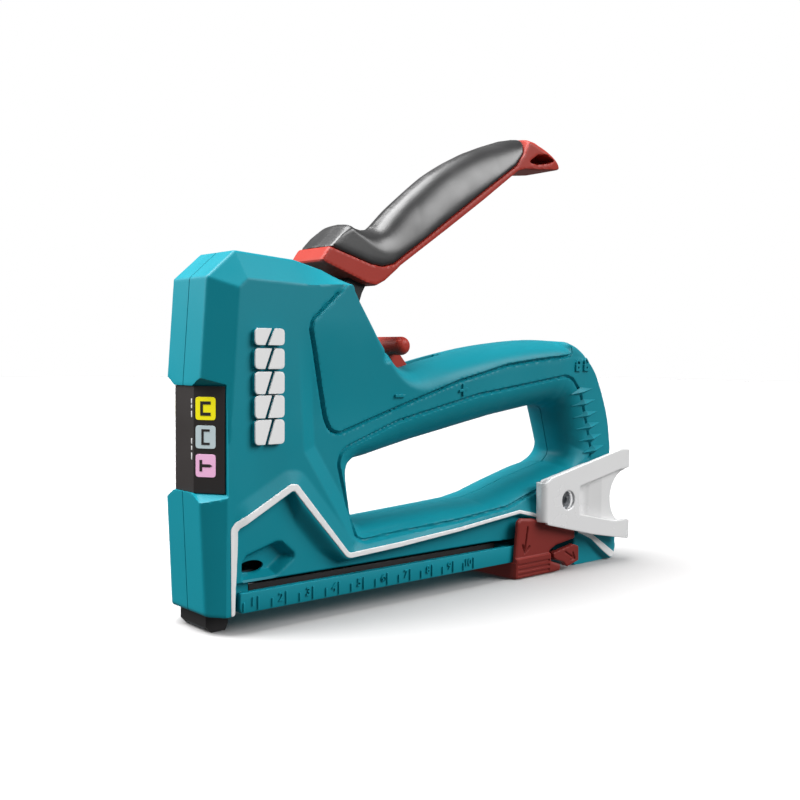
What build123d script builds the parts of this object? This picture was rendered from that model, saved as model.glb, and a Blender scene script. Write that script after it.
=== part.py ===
from build123d import *
import os

# Hand tacker (spring-driven staple gun), millimetres.
# +X runs from the nose to the rear, +Z is up, y = 0 is the seam between the two housing halves.
# The origin is on the bottom face of the nose foot, where the tool touches the work.

# ---------------------------------------------------------------- driving dimensions
HALF_WIDTH = 15.0          # housing, seam to side wall
WALL = 2.4                 # housing wall
FRONT_FLAT = 9.9           # half width of the flat front face
ROOF_FLAT = 9.9            # half width of the flat roof
ROOF_BEVEL_DROP = 9.0      # how far the roof bevel falls from the flat to the side wall
REAR_HALF_WIDTH = 10.8     # half width of the rear post's back edge
REAR_TAPER_X = 167.0       # where the rear post starts to narrow
REAR_TAPER_Z = 31.0        # the base below this keeps its full width
NOTCH = (184.3, 25.8)      # x, z of the round notch behind the belt hook
NOTCH_R = 10.8
HANDLE_FILLET = 5.0        # rounding of the hand opening's edges
SLIT_Z = 14.4              # lower edge of the housing above the magazine
FOOT_TOP_Z = 5.6           # where the nose foot meets the housing
BLOCK_X = 157.4            # front of the solid rear foot

LEVER_PIVOT = (48.0, 95.0)     # x, z of the lever pin
LEVER_PIN_R = 3.0
LEVER_HALF_WIDTH = 8.6
GRIP_SLOPE = 0.62              # rise of the line that parts the grip's top from its lower edge
ARM_HALF_WIDTH = 6.0
BOSS_FACE_Y = 9.5              # inner face of the bosses that hold the lever pin
RUN_CLEAR = 0.05               # radial clearance of a pin in a turning part

DRIVER_X = -2.1                # front face of the driver blade
BLADE_T = 1.2
BLADE_HALF_WIDTH = 5.3
STRIKER_Z = (60.0, 78.0)       # bottom and top of the striker block at rest

NECK_Z = (41.6, 73.0)          # part of the nose that the front label wraps
NECK_BEVEL = 1.7
LABEL_GAP = 0.2                # the label stops this far from the neck's ends

MAG_PIVOT = (7.0, 10.4)        # x, z of the magazine pin
MAG_PIN_R = 1.2
MAG_FRONT_X = 3.4
MAG_REAR_X = 118.4
MAG_HALF_WIDTH = 15.5
MAG_BOTTOM_Z = 6.2
MAG_TOP_Z = 12.3
MAG_FLOOR_T = 1.2

GRIP_INNER_Y = 15.9            # inner face of the red side plates
GRIP_OUTER_Y = 18.3
GROUND_Z = 0.4                 # lowest face of the red slider

STAPLE_HALF_WIDTH = 5.3
STAPLE_WIRE = 1.2
STAPLE_TOP_Z = 16.4
STAPLE_BOTTOM_Z = 8.2
STAPLE_STICK_X = (0.0, 50.4)
RAIL_HALF_WIDTH = 3.9
RAIL_TOP_Z = 14.9
RAIL_REAR_X = 114.3

ADJUSTER_X, ADJUSTER_Z = 72.8, 85.4
ADJUSTER_R = 3.15
ADJUSTER_HALF_LENGTH = 9.5
ADJUSTER_SLOT_HALF_WIDTH = 2.2

HOOK_T = 1.2                   # sheet thickness of the belt hook
HOOK_OUTER_Y = -20.8
HOOK_INNER_Y = -15.6
HOOK_NOTCH_R = 11.0

SCREW_SHANK_R = 1.5
SCREW_HEAD_R = 2.8
HOOK_SCREW = (145.6, 27.6)
SCREW_PLACES = ((31.0, 62.0), (31.0, 30.0), (105.0, 72.0), (150.0, 79.0), (165.0, 23.0))

# ---------------------------------------------------------------- side outlines (x, z)
FRONT_OUTLINE = [
    (1.6, SLIT_Z), (1.6, FOOT_TOP_Z), (-4.7, FOOT_TOP_Z), (-6.4, NECK_Z[0] - NECK_BEVEL),
    (-4.6, NECK_Z[0]), (-4.6, NECK_Z[1]), (-6.1, NECK_Z[1] + NECK_BEVEL), (-3.8, 104.6),
    (5.4, 112.7), (26.5, 111.3), (37.4, 108.7),
    (47.2, 105.3),
]
REAR_SLOPE = [(53.6, 99.5), (61.5, 88.2), (67.4, 80.6), (74.0, 78.2)]
HANDLE_TOP = [(82.6, 80.2), (98.0, 83.1), (114.5, 85.9), (134.0, 88.2), (153.0, 88.6)]
REAR_OUTLINE = [
    (164.5, 85.0), (172.0, 78.0), (177.5, 69.7), (182.8, 58.0), (185.4, 45.0), (182.2, 5.0),
    (179.0, 0.6), (176.0, 0.0), (BLOCK_X, 0.0), (BLOCK_X, SLIT_Z),
]
OPENING = [
    (48.6, 31.5), (48.6, 45.0), (51.6, 48.6), (78.0, 53.2), (118.0, 60.2), (148.0, 64.4),
    (152.4, 62.6), (157.2, 43.0), (153.6, 39.2), (131.0, 34.0), (118.0, 30.2), (104.0, 28.6),
    (52.0, 27.4),
]


# ---------------------------------------------------------------- helpers
def side_prism(points, half_width):
    """A side outline (x, z) extruded to both sides of the seam."""
    face = make_face(Polyline(*[(x, 0, z) for x, z in points], close=True))
    return extrude(face, amount=half_width, dir=(0, 1, 0), both=True)


def side_plate(points, y_low, y_high):
    """A side outline (x, z) extruded from y_low to y_high."""
    face = make_face(Polyline(*[(x, y_low, z) for x, z in points], close=True))
    return extrude(face, amount=y_high - y_low, dir=(0, 1, 0))


def plan_prism(points, z_low, z_high):
    """A plan outline (x, y) extruded from z_low to z_high."""
    face = make_face(Polyline(*[(x, y, z_low) for x, y in points], close=True))
    return extrude(face, amount=z_high - z_low, dir=(0, 0, 1))


def block(x, y, z):
    """A box given by its low and high x, y and z."""
    size = (x[1] - x[0], y[1] - y[0], z[1] - z[0])
    return Pos((x[0] + x[1]) / 2, (y[0] + y[1]) / 2, (z[0] + z[1]) / 2) * Box(*size)


def socket(x, y, z, radius, depth):
    """Hexagon socket in a screw head that faces along Y."""
    return Pos(x, y, z) * Rot(90, 0, 0) * extrude(RegularPolygon(radius, 6), depth, both=True)


def rod_y(x, z, radius, y_low, y_high):
    """A round bar along Y."""
    middle = (y_low + y_high) / 2
    return Pos(x, middle, z) * Rot(90, 0, 0) * Cylinder(radius, y_high - y_low)


def rod_z(x, radius, z_low, z_high):
    """A round bar along Z on the seam plane."""
    return Pos(x, 0, (z_low + z_high) / 2) * Cylinder(radius, z_high - z_low)


def coil(start, direction, radius, wire_r, length, turns):
    """A coil spring with its axis along direction from start."""
    path = Helix(pitch=length / turns, height=length, radius=radius)
    section = Plane(origin=path @ 0, z_dir=path % 0) * Circle(wire_r)
    spring = sweep(section, path=path)
    return Plane(origin=start, z_dir=direction) * spring


def save(name, shape):
    export_step(shape, os.path.join("parts", name + ".step"))


# ---------------------------------------------------------------- housing
def housing_outer():
    body = side_prism(FRONT_OUTLINE + REAR_SLOPE + HANDLE_TOP + REAR_OUTLINE, HALF_WIDTH)
    body -= side_prism(OPENING, HALF_WIDTH + 1)
    rims = body.edges().filter_by(lambda e: abs(e.center().Y) > HALF_WIDTH - 0.1)
    hand_edges = rims.filter_by(lambda e: 48.0 < e.center().X < 158.0 and 27.0 < e.center().Z < 65.0)
    body = fillet(hand_edges, HANDLE_FILLET)
    for side in (-1, 1):
        front_corner = [
            (-8.0, side * (FRONT_FLAT - 0.9)), (-0.5, side * HALF_WIDTH), (-0.5, side * 20),
            (-8.0, side * 20),
        ]
        rear_taper = [
            (REAR_TAPER_X, side * HALF_WIDTH), (187.0, side * REAR_HALF_WIDTH), (187.0, side * 20),
            (REAR_TAPER_X, side * 20),
        ]
        body -= plan_prism(front_corner, -1, 120)
        body -= plan_prism(rear_taper, REAR_TAPER_Z, 120)
        wedge = [
            (side * ROOF_FLAT, 113.2), (side * (HALF_WIDTH + 2), 113.2),
            (side * (HALF_WIDTH + 2), 113.2 - ROOF_BEVEL_DROP - 2),
        ]
        face = make_face(Polyline(*[(-8, y, z) for y, z in wedge], close=True))
        body -= extrude(face, amount=56, dir=(1, 0, 0))
    return body - rod_y(*NOTCH, NOTCH_R, -HALF_WIDTH - 1, HALF_WIDTH + 1)


def housing_cavity():
    """The hollow inside the shells: the outline moved in by the wall, and kept off the side walls."""
    points = FRONT_OUTLINE + REAR_SLOPE + HANDLE_TOP + REAR_OUTLINE
    outline = make_face(Polyline(*[(x, 0, z) for x, z in points], close=True))
    outline -= make_face(Polyline(*[(x, 0, z) for x, z in OPENING], close=True))
    inner = offset(outline, -WALL, kind=Kind.INTERSECTION)
    hollow = extrude(inner, amount=HALF_WIDTH - WALL, dir=(0, 1, 0), both=True)
    room = [
        (-1.0, -8.4), (2.0, -HALF_WIDTH + WALL), (REAR_TAPER_X - 4, -HALF_WIDTH + WALL),
        (184.0, -REAR_HALF_WIDTH + WALL), (184.0, REAR_HALF_WIDTH - WALL),
        (REAR_TAPER_X - 4, HALF_WIDTH - WALL), (2.0, HALF_WIDTH - WALL), (-1.0, 8.4),
    ]
    hollow &= plan_prism(room, -1, 120)
    # the roof is narrower inside, below its bevels
    for side in (-1, 1):
        hollow -= block((-8, 48), sorted((side * 8.6, side * 16)), (102.5, 114))
    return hollow - rod_y(*NOTCH, NOTCH_R + WALL, -16, 16)


def housing():
    body = housing_outer() - housing_cavity()
    # neck that the front label wraps
    for side in (-1, 1):
        neck = [
            (-8.0, side * 5.5), (-4.6, side * 5.5), (0.3, side * 13.0), (0.3, side * 17.0),
            (-8.0, side * 17.0),
        ]
        body -= plan_prism(neck, *NECK_Z)
    # way for the striker, its blade and the front of the magazine
    body -= block((-3.2, 1.7), (-6.8, 6.8), (5.0, 103.0))
    body -= block((-2.0, BLOCK_X - 0.6), (-8.2, 8.2), (SLIT_Z - 1, 21.6))
    # slot in the roof and the rear slope, where the steel arm comes out
    arm_slot = [(44, 101), (44, 112), (60, 112), (72, 84), (64, 80), (56, 88)]
    body -= side_prism(arm_slot, ARM_HALF_WIDTH + 0.6)
    # slot in the handle's top for the force adjuster
    adjuster_slot = [(74.0, 75.2), (96.5, 78.6), (96.5, 86.0), (74.0, 86.0)]
    body -= side_prism(adjuster_slot, ADJUSTER_SLOT_HALF_WIDTH)
    # ears that carry the magazine pin, inside the magazine's channel
    for side in (-1, 1):
        ear = rod_y(*MAG_PIVOT, 2.6, side * 9.5 - 1, side * 9.5 + 1)
        ear += block(
            (MAG_PIVOT[0] - 2.6, MAG_PIVOT[0] + 2.6), (side * 9.5 - 1, side * 9.5 + 1),
            (MAG_PIVOT[1], SLIT_Z + 2.0),
        )
        body += ear - rod_y(*MAG_PIVOT, MAG_PIN_R, -20, 20)
    # bosses for the lever pin and the screws
    boss_y = HALF_WIDTH - WALL
    for side in (-1, 1):
        y_low, y_high = sorted((side * BOSS_FACE_Y, side * boss_y))
        body += rod_y(*LEVER_PIVOT, LEVER_PIN_R + 1.6, y_low, y_high)
    for x, z in SCREW_PLACES:
        body += rod_y(x, z, SCREW_HEAD_R + 0.9, -boss_y, boss_y)
        body -= rod_y(x, z, SCREW_SHANK_R + 0.05, -HALF_WIDTH + 3.5, HALF_WIDTH + 1)
        body -= rod_y(x, z, SCREW_HEAD_R + 0.2, HALF_WIDTH - 3.0, HALF_WIDTH + 1)
    body -= rod_y(*LEVER_PIVOT, LEVER_PIN_R, -boss_y + 0.2, boss_y - 0.2)
    body += rod_y(*HOOK_SCREW, SCREW_HEAD_R + 0.9, -boss_y, -6.0)
    body -= rod_y(*HOOK_SCREW, SCREW_SHANK_R + 0.05, -HALF_WIDTH - 1, -8.5)
    # hollow beside the magazine pin and window in each side
    window = [(6.3, 15.9), (6.3, 20.4), (8.0, 22.4), (18.6, 25.4), (20.6, 25.2), (25.0, 20.8), (18.5, 15.9)]
    body -= side_prism(window, HALF_WIDTH + 1)
    return body


def make_shells():
    body = housing()
    left = body & block((-10, 190), (-16, 0), (-1, 120))
    right = body & block((-10, 190), (0, 16), (-1, 120))
    return left, right


def nose_foot():
    outline = [(-1.1, 0.0), (3.6, 0.0), (4.5, 2.0), (4.5, FOOT_TOP_Z), (-3.0, FOOT_TOP_Z), (-3.0, 2.0)]
    foot = side_prism(outline, 7.5)
    blade_way = (DRIVER_X - 0.2, DRIVER_X + BLADE_T + 0.2)
    return foot - block(blade_way, (-BLADE_HALF_WIDTH - 0.4, BLADE_HALF_WIDTH + 0.4), (-1, 7))


def front_label():
    """A film that wraps the neck's front and both of its slanting sides."""
    near_half = [(-4.6, -5.5), (0.3, -13.0), (-0.1, -13.2), (-5.2, -5.6)]
    far_half = [(x, -y) for x, y in near_half[::-1]]
    return plan_prism(near_half + far_half, NECK_Z[0] + LABEL_GAP, NECK_Z[1] - LABEL_GAP)


def emblem(side):
    """Five raised blocks in a column on the housing's side."""
    blocks = Part()
    for i in range(5):
        z = 56.2 + i * 7.0
        y_low, y_high = sorted((side * HALF_WIDTH, side * (HALF_WIDTH + 1.4)))
        blocks += block((8.8, 18.2), (y_low, y_high), (z, z + 5.8))
    return blocks


def stripe(side):
    """The thin light line that edges the lower side panel."""
    points = [
        (1.2, 15.0), (1.2, 31.0), (2.2, 33.0), (21.6, 43.0), (23.6, 42.8), (44.0, 19.4),
        (65.0, 20.4), (93.0, 22.4), (123.6, 25.2), (131.0, 23.4), (166.5, 11.4), (180.6, 2.4),
        (179.4, 1.8), (166.0, 10.2), (131.0, 22.2), (123.6, 24.0), (93.0, 21.2), (65.0, 19.2),
        (43.4, 18.2), (23.0, 41.4), (22.0, 41.8), (3.0, 31.8), (2.4, 30.6), (2.4, 15.0),
    ]
    y_low, y_high = sorted((side * HALF_WIDTH, side * (HALF_WIDTH + 0.5)))
    return side_plate(points, y_low, y_high)


# ---------------------------------------------------------------- drive train
def striker_guide():
    """Folded steel channel that the blade runs in."""
    guide = block((-3.0, -2.3), (-6.4, 6.4), (6.0, 102.0))
    for side in (-1, 1):
        y_low, y_high = sorted((side * 5.7, side * 6.4))
        guide += block((-3.0, -1.0), (y_low, y_high), (22.0, 102.0))
    return guide


def striker():
    body = block((DRIVER_X + BLADE_T, 14.0), (-6.0, 6.0), STRIKER_Z)
    body += rod_z(7.0, 3.6, STRIKER_Z[1], STRIKER_Z[1] + 6)
    # lug with a window that takes the lever arm's tip
    body += block((13.4, 24.0), (-2.6, 2.6), (STRIKER_Z[0], 89.6))
    return body - block((15.6, 25.0), (-3.5, 3.5), (79.6, 87.2))


def driver_blade():
    wide = (-BLADE_HALF_WIDTH, BLADE_HALF_WIDTH)
    return block((DRIVER_X, DRIVER_X + BLADE_T), wide, (0.8, STRIKER_Z[1] - 4))


def main_spring():
    return coil((7.0, 0, STRIKER_Z[1] + 1.0), (0, 0, 1), 5.0, 0.7, 22.6, 4)


def spring_seat():
    return block((2.0, 12.5), (-8.0, 8.0), (102.6, 105.0))


def bumper():
    pad = block((0.0, 12.0), (-5.5, 5.5), (53.0, STRIKER_Z[0] - 0.4))
    return fillet(pad.edges().filter_by(Axis.Z), 1.5)


# ---------------------------------------------------------------- lever
LEVER_SPLIT = [(60.7, 111.9), (65.5, 112.3), (73.2, 117.0), (131.4, 155.6)]


def lever_core():
    under = [(128.2, 152.1), (62.5, 107.2), (58.7, 105.3)]
    points = [(37.0, 111.6), (43.0, 117.0)] + LEVER_SPLIT + [(135.4, 162.8), (145.0, 163.2), (158.4, 160.2)]
    points += [(157.0, 157.0), (146.0, 154.2), (138.0, 153.0)] + under
    core = side_prism(points, LEVER_HALF_WIDTH)
    # loop at the tip, open from side to side
    loop = [(134.6, 155.2), (139.8, 158.8), (145.0, 159.6), (150.8, 158.2), (145.8, 156.0), (139.6, 154.8)]
    return core - side_prism(loop, LEVER_HALF_WIDTH + 1)


def lever_grip():
    points = [(43.0, 117.0), (50.0, 125.2), (53.0, 125.8), (61.0, 124.4), (66.6, 129.1)]
    points += [(77.3, 137.9), (88.3, 145.3), (99.9, 152.0), (116.0, 159.0), (128.0, 162.4), (135.4, 162.8)]
    grip = side_prism(points + LEVER_SPLIT[::-1], LEVER_HALF_WIDTH + 0.6)
    long_edges = grip.edges().filter_by(Plane.XZ).filter_by(lambda e: 62 < e.center().X < 134)
    upper = long_edges.filter_by(lambda e: e.center().Z > e.center().X * GRIP_SLOPE + 85)
    return fillet(upper, 3.0)


def lever_arm():
    x, z = LEVER_PIVOT
    points = [
        (51.0, 107.4), (58.4, 106.0), (56.4, 102.6), (54.4, 97.0), (52.6, 90.4), (46.0, 88.6),
        (24.0, 81.2), (21.6, 81.6), (20.8, 83.6), (22.0, 85.6), (38.0, 93.6), (45.6, 101.0),
    ]
    arm = side_prism(points, ARM_HALF_WIDTH)
    front = block((10, 34), (-9, 9), (78, 104)) - block((10, 34), (-2.2, 2.2), (78, 104))
    under_core = side_prism([(37.0, 111.6), (58.7, 105.3), (62.5, 107.2), (60, 112), (43, 117)], 9)
    return arm - front - under_core - rod_y(x, z, LEVER_PIN_R + RUN_CLEAR, -10, 10)


def lever_pin():
    return rod_y(*LEVER_PIVOT, LEVER_PIN_R, -12.2, 12.2)


def lever_spring():
    """Return spring: a coil round the pin, between the arm and the right boss."""
    x, z = LEVER_PIVOT
    return coil((x, 7.0, z), (0, 1, 0), LEVER_PIN_R + 0.8, 0.4, 2.0, 2)


# ---------------------------------------------------------------- force adjuster
def force_adjuster():
    half = ADJUSTER_HALF_LENGTH
    barrel = rod_y(ADJUSTER_X, ADJUSTER_Z, ADJUSTER_R, -half, half)
    barrel = fillet(barrel.edges(), ADJUSTER_R * 0.8)
    fin = [(70.6, 84.6), (75.4, 84.2), (81.6, 77.4), (75.6, 76.8)]
    return barrel + side_prism(fin, 1.6)


# ---------------------------------------------------------------- belt hook
def belt_hook():
    """One strip of sheet folded back on itself: outer fork, front bend and inner plate."""
    outer = [
        (132.6, 19.2), (161.0, 12.8), (183.6, 8.6), (183.6, 16.6), (173.6, 16.8), (152.4, 21.6),
        (152.4, 32.4), (177.6, 37.2), (183.2, 37.4), (183.2, 45.0), (177.4, 45.2), (135.6, 36.8),
        (132.6, 35.4),
    ]
    inner = [
        (132.6, 22.6), (154.0, 16.4), (176.0, 11.0), (183.0, 10.0), (183.0, 43.6), (177.4, 43.8),
        (135.6, 35.6), (132.6, 31.0),
    ]
    hook = side_plate(outer, HOOK_OUTER_Y, HOOK_OUTER_Y + HOOK_T)
    back_plate = side_plate(inner, HOOK_INNER_Y - HOOK_T, HOOK_INNER_Y)
    hook += back_plate - rod_y(*NOTCH, HOOK_NOTCH_R, HOOK_INNER_Y - 3, HOOK_INNER_Y + 1)
    hook += block((131.4, 132.8), (HOOK_OUTER_Y, HOOK_INNER_Y), (22.6, 31.0))
    hook -= rod_y(*HOOK_SCREW, 4.2, HOOK_OUTER_Y - 1, HOOK_OUTER_Y + 2)
    return hook - rod_y(*HOOK_SCREW, SCREW_SHANK_R + 0.1, HOOK_INNER_Y - 2, HOOK_INNER_Y + 1)


def hook_screw():
    x, z = HOOK_SCREW
    seat_y = HOOK_INNER_Y - HOOK_T
    screw = rod_y(x, z, 3.6, seat_y - 2.0, seat_y)
    screw += rod_y(x, z, SCREW_SHANK_R, seat_y, -9.0)
    return screw - socket(x, seat_y - 2.0, z, 1.5, 1.0)


def housing_screws():
    screws = Part()
    for x, z in SCREW_PLACES:
        screw = rod_y(x, z, SCREW_SHANK_R, -9.0, HALF_WIDTH - 3.0)
        screw += rod_y(x, z, SCREW_HEAD_R, HALF_WIDTH - 3.0, HALF_WIDTH - 0.6)
        screws += screw - socket(x, HALF_WIDTH - 0.6, z, 1.4, 1.2)
    return screws


# ---------------------------------------------------------------- magazine
def magazine_body():
    channel = block((MAG_FRONT_X, MAG_REAR_X), (-MAG_HALF_WIDTH, MAG_HALF_WIDTH), (MAG_BOTTOM_Z, MAG_TOP_Z))
    inside = MAG_HALF_WIDTH - WALL
    channel -= block((MAG_FRONT_X - 1, MAG_REAR_X - 4), (-inside, inside), (MAG_BOTTOM_Z + MAG_FLOOR_T, 20))
    channel += block((MAG_REAR_X - 1, 150), (-9, 9), (MAG_BOTTOM_Z, MAG_TOP_Z))
    channel -= rod_y(*MAG_PIVOT, MAG_PIN_R + RUN_CLEAR, -20, 20)
    # ruler ticks, one each five millimetres, cut into both sides
    for i in range(1, 23):
        tall = 4.0 if i % 2 == 0 else 2.2
        for side in (-1, 1):
            y_low, y_high = sorted((side * (MAG_HALF_WIDTH - 0.3), side * (MAG_HALF_WIDTH + 1)))
            x = i * 5.0
            channel -= block((x - 0.25, x + 0.25), (y_low, y_high), (MAG_TOP_Z - 1 - tall, MAG_TOP_Z - 1))
    return channel


def magazine_pins():
    """Two stub pins, one in each ear."""
    return rod_y(*MAG_PIVOT, MAG_PIN_R, -15.2, -8.5) + rod_y(*MAG_PIVOT, MAG_PIN_R, 8.5, 15.2)


def magazine_rail():
    floor_z = MAG_BOTTOM_Z + MAG_FLOOR_T
    rail = block((1.5, RAIL_REAR_X), (-RAIL_HALF_WIDTH, RAIL_HALF_WIDTH), (floor_z + 0.8, RAIL_TOP_Z))
    rail -= block((0, 111.0), (-RAIL_HALF_WIDTH + 1, RAIL_HALF_WIDTH - 1), (floor_z, RAIL_TOP_Z - 1))
    rail += block((5.0, RAIL_REAR_X), (-RAIL_HALF_WIDTH, RAIL_HALF_WIDTH), (floor_z, floor_z + 1.0))
    # upright end that the pusher spring bears on
    return rail + block((RAIL_REAR_X - 1.6, RAIL_REAR_X), (-RAIL_HALF_WIDTH, RAIL_HALF_WIDTH), (12.4, 20.6))


def staple_stick():
    wide = (-STAPLE_HALF_WIDTH, STAPLE_HALF_WIDTH)
    stick = block(STAPLE_STICK_X, wide, (STAPLE_BOTTOM_Z, STAPLE_TOP_Z))
    inner = STAPLE_HALF_WIDTH - STAPLE_WIRE
    return stick - block((-1, 60), (-inner, inner), (STAPLE_BOTTOM_Z - 1, STAPLE_TOP_Z - STAPLE_WIRE))


def pusher():
    body = block((STAPLE_STICK_X[1] + 0.4, 60.0), (-STAPLE_HALF_WIDTH, STAPLE_HALF_WIDTH), (8.6, 17.0))
    body -= block((0, 70), (-4.25, 4.25), (8, RAIL_TOP_Z + 0.35))
    return body + block((58.6, 60.0), (-3.0, 3.0), (16.0, 20.0))


def pusher_spring():
    return coil((60.5, 0, 17.9), (1, 0, 0), 1.9, 0.35, RAIL_REAR_X - 62.5, 24)


def magazine_grip():
    plate = [
        (119.4, GROUND_Z), (121.3, 21.2), (123.0, 22.4), (130.0, 21.6), (154.0, 14.6),
        (154.0, 11.6), (143.0, 10.2), (139.2, 8.6), (139.2, 4.6), (144.6, 2.8), (144.6, GROUND_Z),
    ]
    grip = side_plate(plate, -GRIP_OUTER_Y, -GRIP_INNER_Y) + side_plate(plate, GRIP_INNER_Y, GRIP_OUTER_Y)
    grip += block((119.4, 144.6), (-GRIP_OUTER_Y, GRIP_OUTER_Y), (GROUND_Z, 2.8))
    grip += block((119.4, 139.2), (-GRIP_OUTER_Y, GRIP_OUTER_Y), (2.8, MAG_BOTTOM_Z))
    for i in range(3):
        z = 1.4 + i * 1.8
        for side in (-1, 1):
            y_low, y_high = sorted((side * (GRIP_OUTER_Y - 0.6), side * (GRIP_OUTER_Y + 1)))
            grip -= block((121.0, 137.4), (y_low, y_high), (z, z + 0.8))
    return grip


def latch():
    tab = [
        (140.4, 7.6), (152.4, 9.6), (155.0, 8.6), (155.2, 3.0), (148.4, 1.4), (146.4, 3.4),
        (142.0, 5.0), (140.4, 6.0),
    ]
    piece = side_plate(tab, -GRIP_OUTER_Y, -GRIP_INNER_Y) + side_plate(tab, GRIP_INNER_Y, GRIP_OUTER_Y)
    return piece + block((148.4, 154.0), (-GRIP_OUTER_Y + 0.4, GRIP_OUTER_Y - 0.4), (2.6, 5.8))


def latch_spring():
    return coil((144.9, 0, 4.4), (1, 0, 0), 1.2, 0.25, 3.2, 5)


# ---------------------------------------------------------------- all parts
def main():
    os.makedirs("parts", exist_ok=True)
    left, right = make_shells()
    parts = {
        "left_housing_shell": left,
        "right_housing_shell": right,
        "nose_foot": nose_foot(),
        "front_label": front_label(),
        "left_emblem": emblem(-1),
        "right_emblem": emblem(1),
        "left_stripe": stripe(-1),
        "right_stripe": stripe(1),
        "housing_screws": housing_screws(),
        "belt_hook": belt_hook(),
        "hook_screw": hook_screw(),
        "striker_guide": striker_guide(),
        "striker": striker(),
        "driver_blade": driver_blade(),
        "main_spring": main_spring(),
        "spring_seat": spring_seat(),
        "bumper": bumper(),
        "lever_core": lever_core(),
        "lever_grip": lever_grip(),
        "lever_arm": lever_arm(),
        "lever_pin": lever_pin(),
        "lever_spring": lever_spring(),
        "force_adjuster": force_adjuster(),
        "magazine_body": magazine_body(),
        "magazine_pins": magazine_pins(),
        "magazine_rail": magazine_rail(),
        "magazine_grip": magazine_grip(),
        "staple_stick": staple_stick(),
        "pusher": pusher(),
        "pusher_spring": pusher_spring(),
        "latch": latch(),
        "latch_spring": latch_spring(),
    }
    for name, shape in parts.items():
        save(name, shape)


main()
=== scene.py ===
import math

import bmesh
import bpy
import numpy as np
from mathutils import Matrix, Vector


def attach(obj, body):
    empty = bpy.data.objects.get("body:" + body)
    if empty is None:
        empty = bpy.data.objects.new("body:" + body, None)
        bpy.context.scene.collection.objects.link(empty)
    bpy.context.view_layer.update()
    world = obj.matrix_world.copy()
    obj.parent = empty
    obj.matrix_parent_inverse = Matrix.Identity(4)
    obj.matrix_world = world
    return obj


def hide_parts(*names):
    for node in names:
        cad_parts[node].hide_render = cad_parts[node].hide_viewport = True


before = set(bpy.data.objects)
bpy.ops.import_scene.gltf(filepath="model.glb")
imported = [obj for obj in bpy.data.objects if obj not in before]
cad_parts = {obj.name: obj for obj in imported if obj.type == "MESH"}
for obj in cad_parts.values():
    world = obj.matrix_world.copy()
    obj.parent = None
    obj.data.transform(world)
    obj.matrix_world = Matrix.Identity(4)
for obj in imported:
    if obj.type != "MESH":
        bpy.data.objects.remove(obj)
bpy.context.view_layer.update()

# Looks of the hand tacker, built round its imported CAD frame.
# Lengths in the shape code are millimetres in the frame's axes: +X nose to rear, +Z up, y = 0 is the seam.
# Most pieces are reliefs: a side outline (x, z) and a half thickness that depends on x and z.
MM = 0.001
SHELL_PITCH = 0.6
SMALL_PITCH = 0.42
EMBLEM_PITCH = 0.42
MARK_PITCH = 0.22
FAR = 99.0                    # a distance that never decides a shape
SHARP_DEG = 24.0              # edges that turn more than this are bevelled and shaded sharp

# ---- dimensions of the housing
HALF_WIDTH = 15.0
POST_HALF_WIDTH = 13.0        # rear post, at its ridge
BACK_HALF_WIDTH = 10.8        # rear post, at its back edge
WALL = 2.4
FRONT_FLAT = 9.9              # half width of the flat front and roof
STRIPE_Y = 16.0               # crest that carries the light stripe
RECESS_Y = 12.4               # floor of the panel below the stripe
SEAM_GAP = 0.16               # each half stops this far from the seam
SLIT_Z = 14.4                 # lower edge of the housing above the magazine
NECK_Z = (41.6, 73.0)         # part of the nose that the label wraps
NECK_FRONT = (-5.15, 5.2)     # x and half width of the neck's flat front
NECK_SLANT = (-0.820, 0.572)  # outward direction of its slanting sides, in plan
NECK_SKIN = 1.6
PANEL_RISE = 0.45
RIM_GROOVE = (0.7, 1.1)       # half width and depth of the grooves round the panel and the opening
STRIPE_RAMP = 4.2             # width of the slope up to the stripe
WINDOW_DEPTH = 4.0
NOTCH, NOTCH_R = (184.3, 25.8), 10.8
LEVER_PIVOT = (48.0, 95.0)
MAG_PIVOT = (7.0, 10.4)
HOOK_SCREW = (145.6, 27.6)
SCREW_PLACES = ((31.0, 62.0), (31.0, 30.0), (105.0, 72.0), (150.0, 79.0), (165.0, 23.0))
SCREW_R, SCREW_HEAD_R, SCREW_POST_R = 1.6, 3.0, 3.7
# hollows in the shells: x range, half width, z range
BLADE_SHAFT = ((-2.9, 1.7), 6.8, (5.0, 98.0))
MAGAZINE_BAY = ((-2.0, 156.8), 7.6, (0.0, 21.6))

# ---- side outlines (x, z)
BODY_FRONT = [
    (3.3, SLIT_Z), (2.5, 5.6), (-4.7, 5.6), (-6.4, 41.6), (-6.1, 73.6), (-3.8, 104.6), (5.4, 112.7),
    (26.5, 111.3), (37.4, 108.7), (44.4, 105.7), (49.4, 99.4),
]
BODY_TOP = [
    (60.2, 87.6), (67.4, 80.8), (74.0, 78.2), (82.6, 80.0), (98.0, 83.2), (114.5, 86.0), (134.0, 88.1),
    (148.0, 88.6), (156.0, 87.8), (163.0, 85.2), (172.0, 78.0), (177.5, 69.7), (182.8, 58.0),
    (185.4, 45.0),
]
BODY_REAR = [(182.2, 5.0), (179.0, 0.6), (176.0, 0.0), (157.4, 0.0), (157.4, SLIT_Z)]
OPENING = [
    (48.6, 31.5), (48.6, 43.6), (51.8, 47.4), (58.6, 48.4), (78.6, 52.6), (118.4, 59.8), (143.5, 63.2),
    (152.0, 62.4), (157.4, 43.4), (153.6, 40.2), (149.0, 39.4), (131.0, 35.4), (118.8, 32.0), (108.6, 29.8),
    (78.8, 28.6), (52.0, 27.4),
]
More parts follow.
